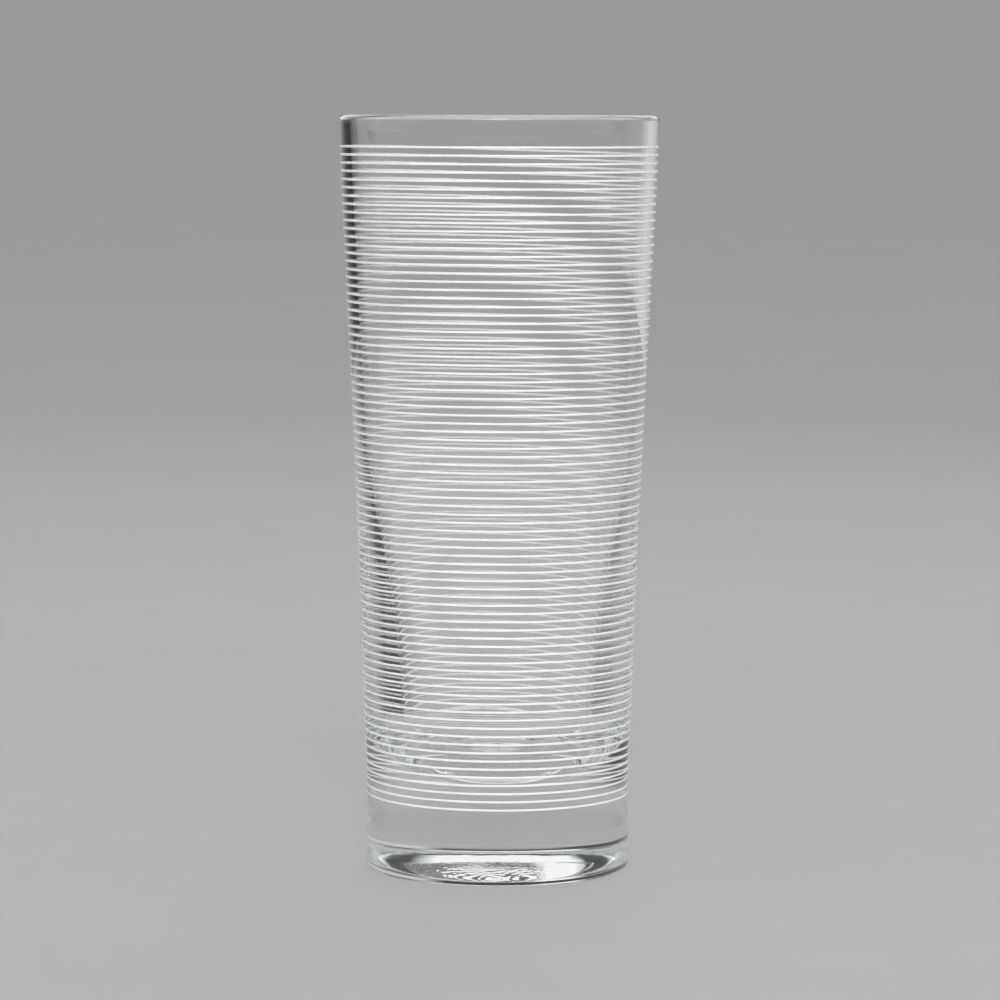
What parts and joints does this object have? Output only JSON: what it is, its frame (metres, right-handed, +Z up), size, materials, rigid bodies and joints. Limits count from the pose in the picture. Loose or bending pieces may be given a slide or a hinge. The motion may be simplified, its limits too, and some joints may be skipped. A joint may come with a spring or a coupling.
{
  "type": "highball glass",
  "caption": "Tall tapering tumbler of clear glass with a heavy base and a fine frosted spiral line round the outside, for long drinks.",
  "frame": {"origin": "middle of the underside, on the surface that the glass stands on", "axes": "+Z up along the glass's axis; -Y is the side that the picture shows; +X is right in that view"},
  "size_m": [0.0635, 0.0634, 0.15],
  "materials": {
    "clear_glass": "fire polished, clear and smooth",
    "frosted_line": "etched, white and matte"
  },
  "bodies": {
    "root": {"glass_body": "clear_glass", "spiral_line": "frosted_line"}
  },
  "joints": []
}
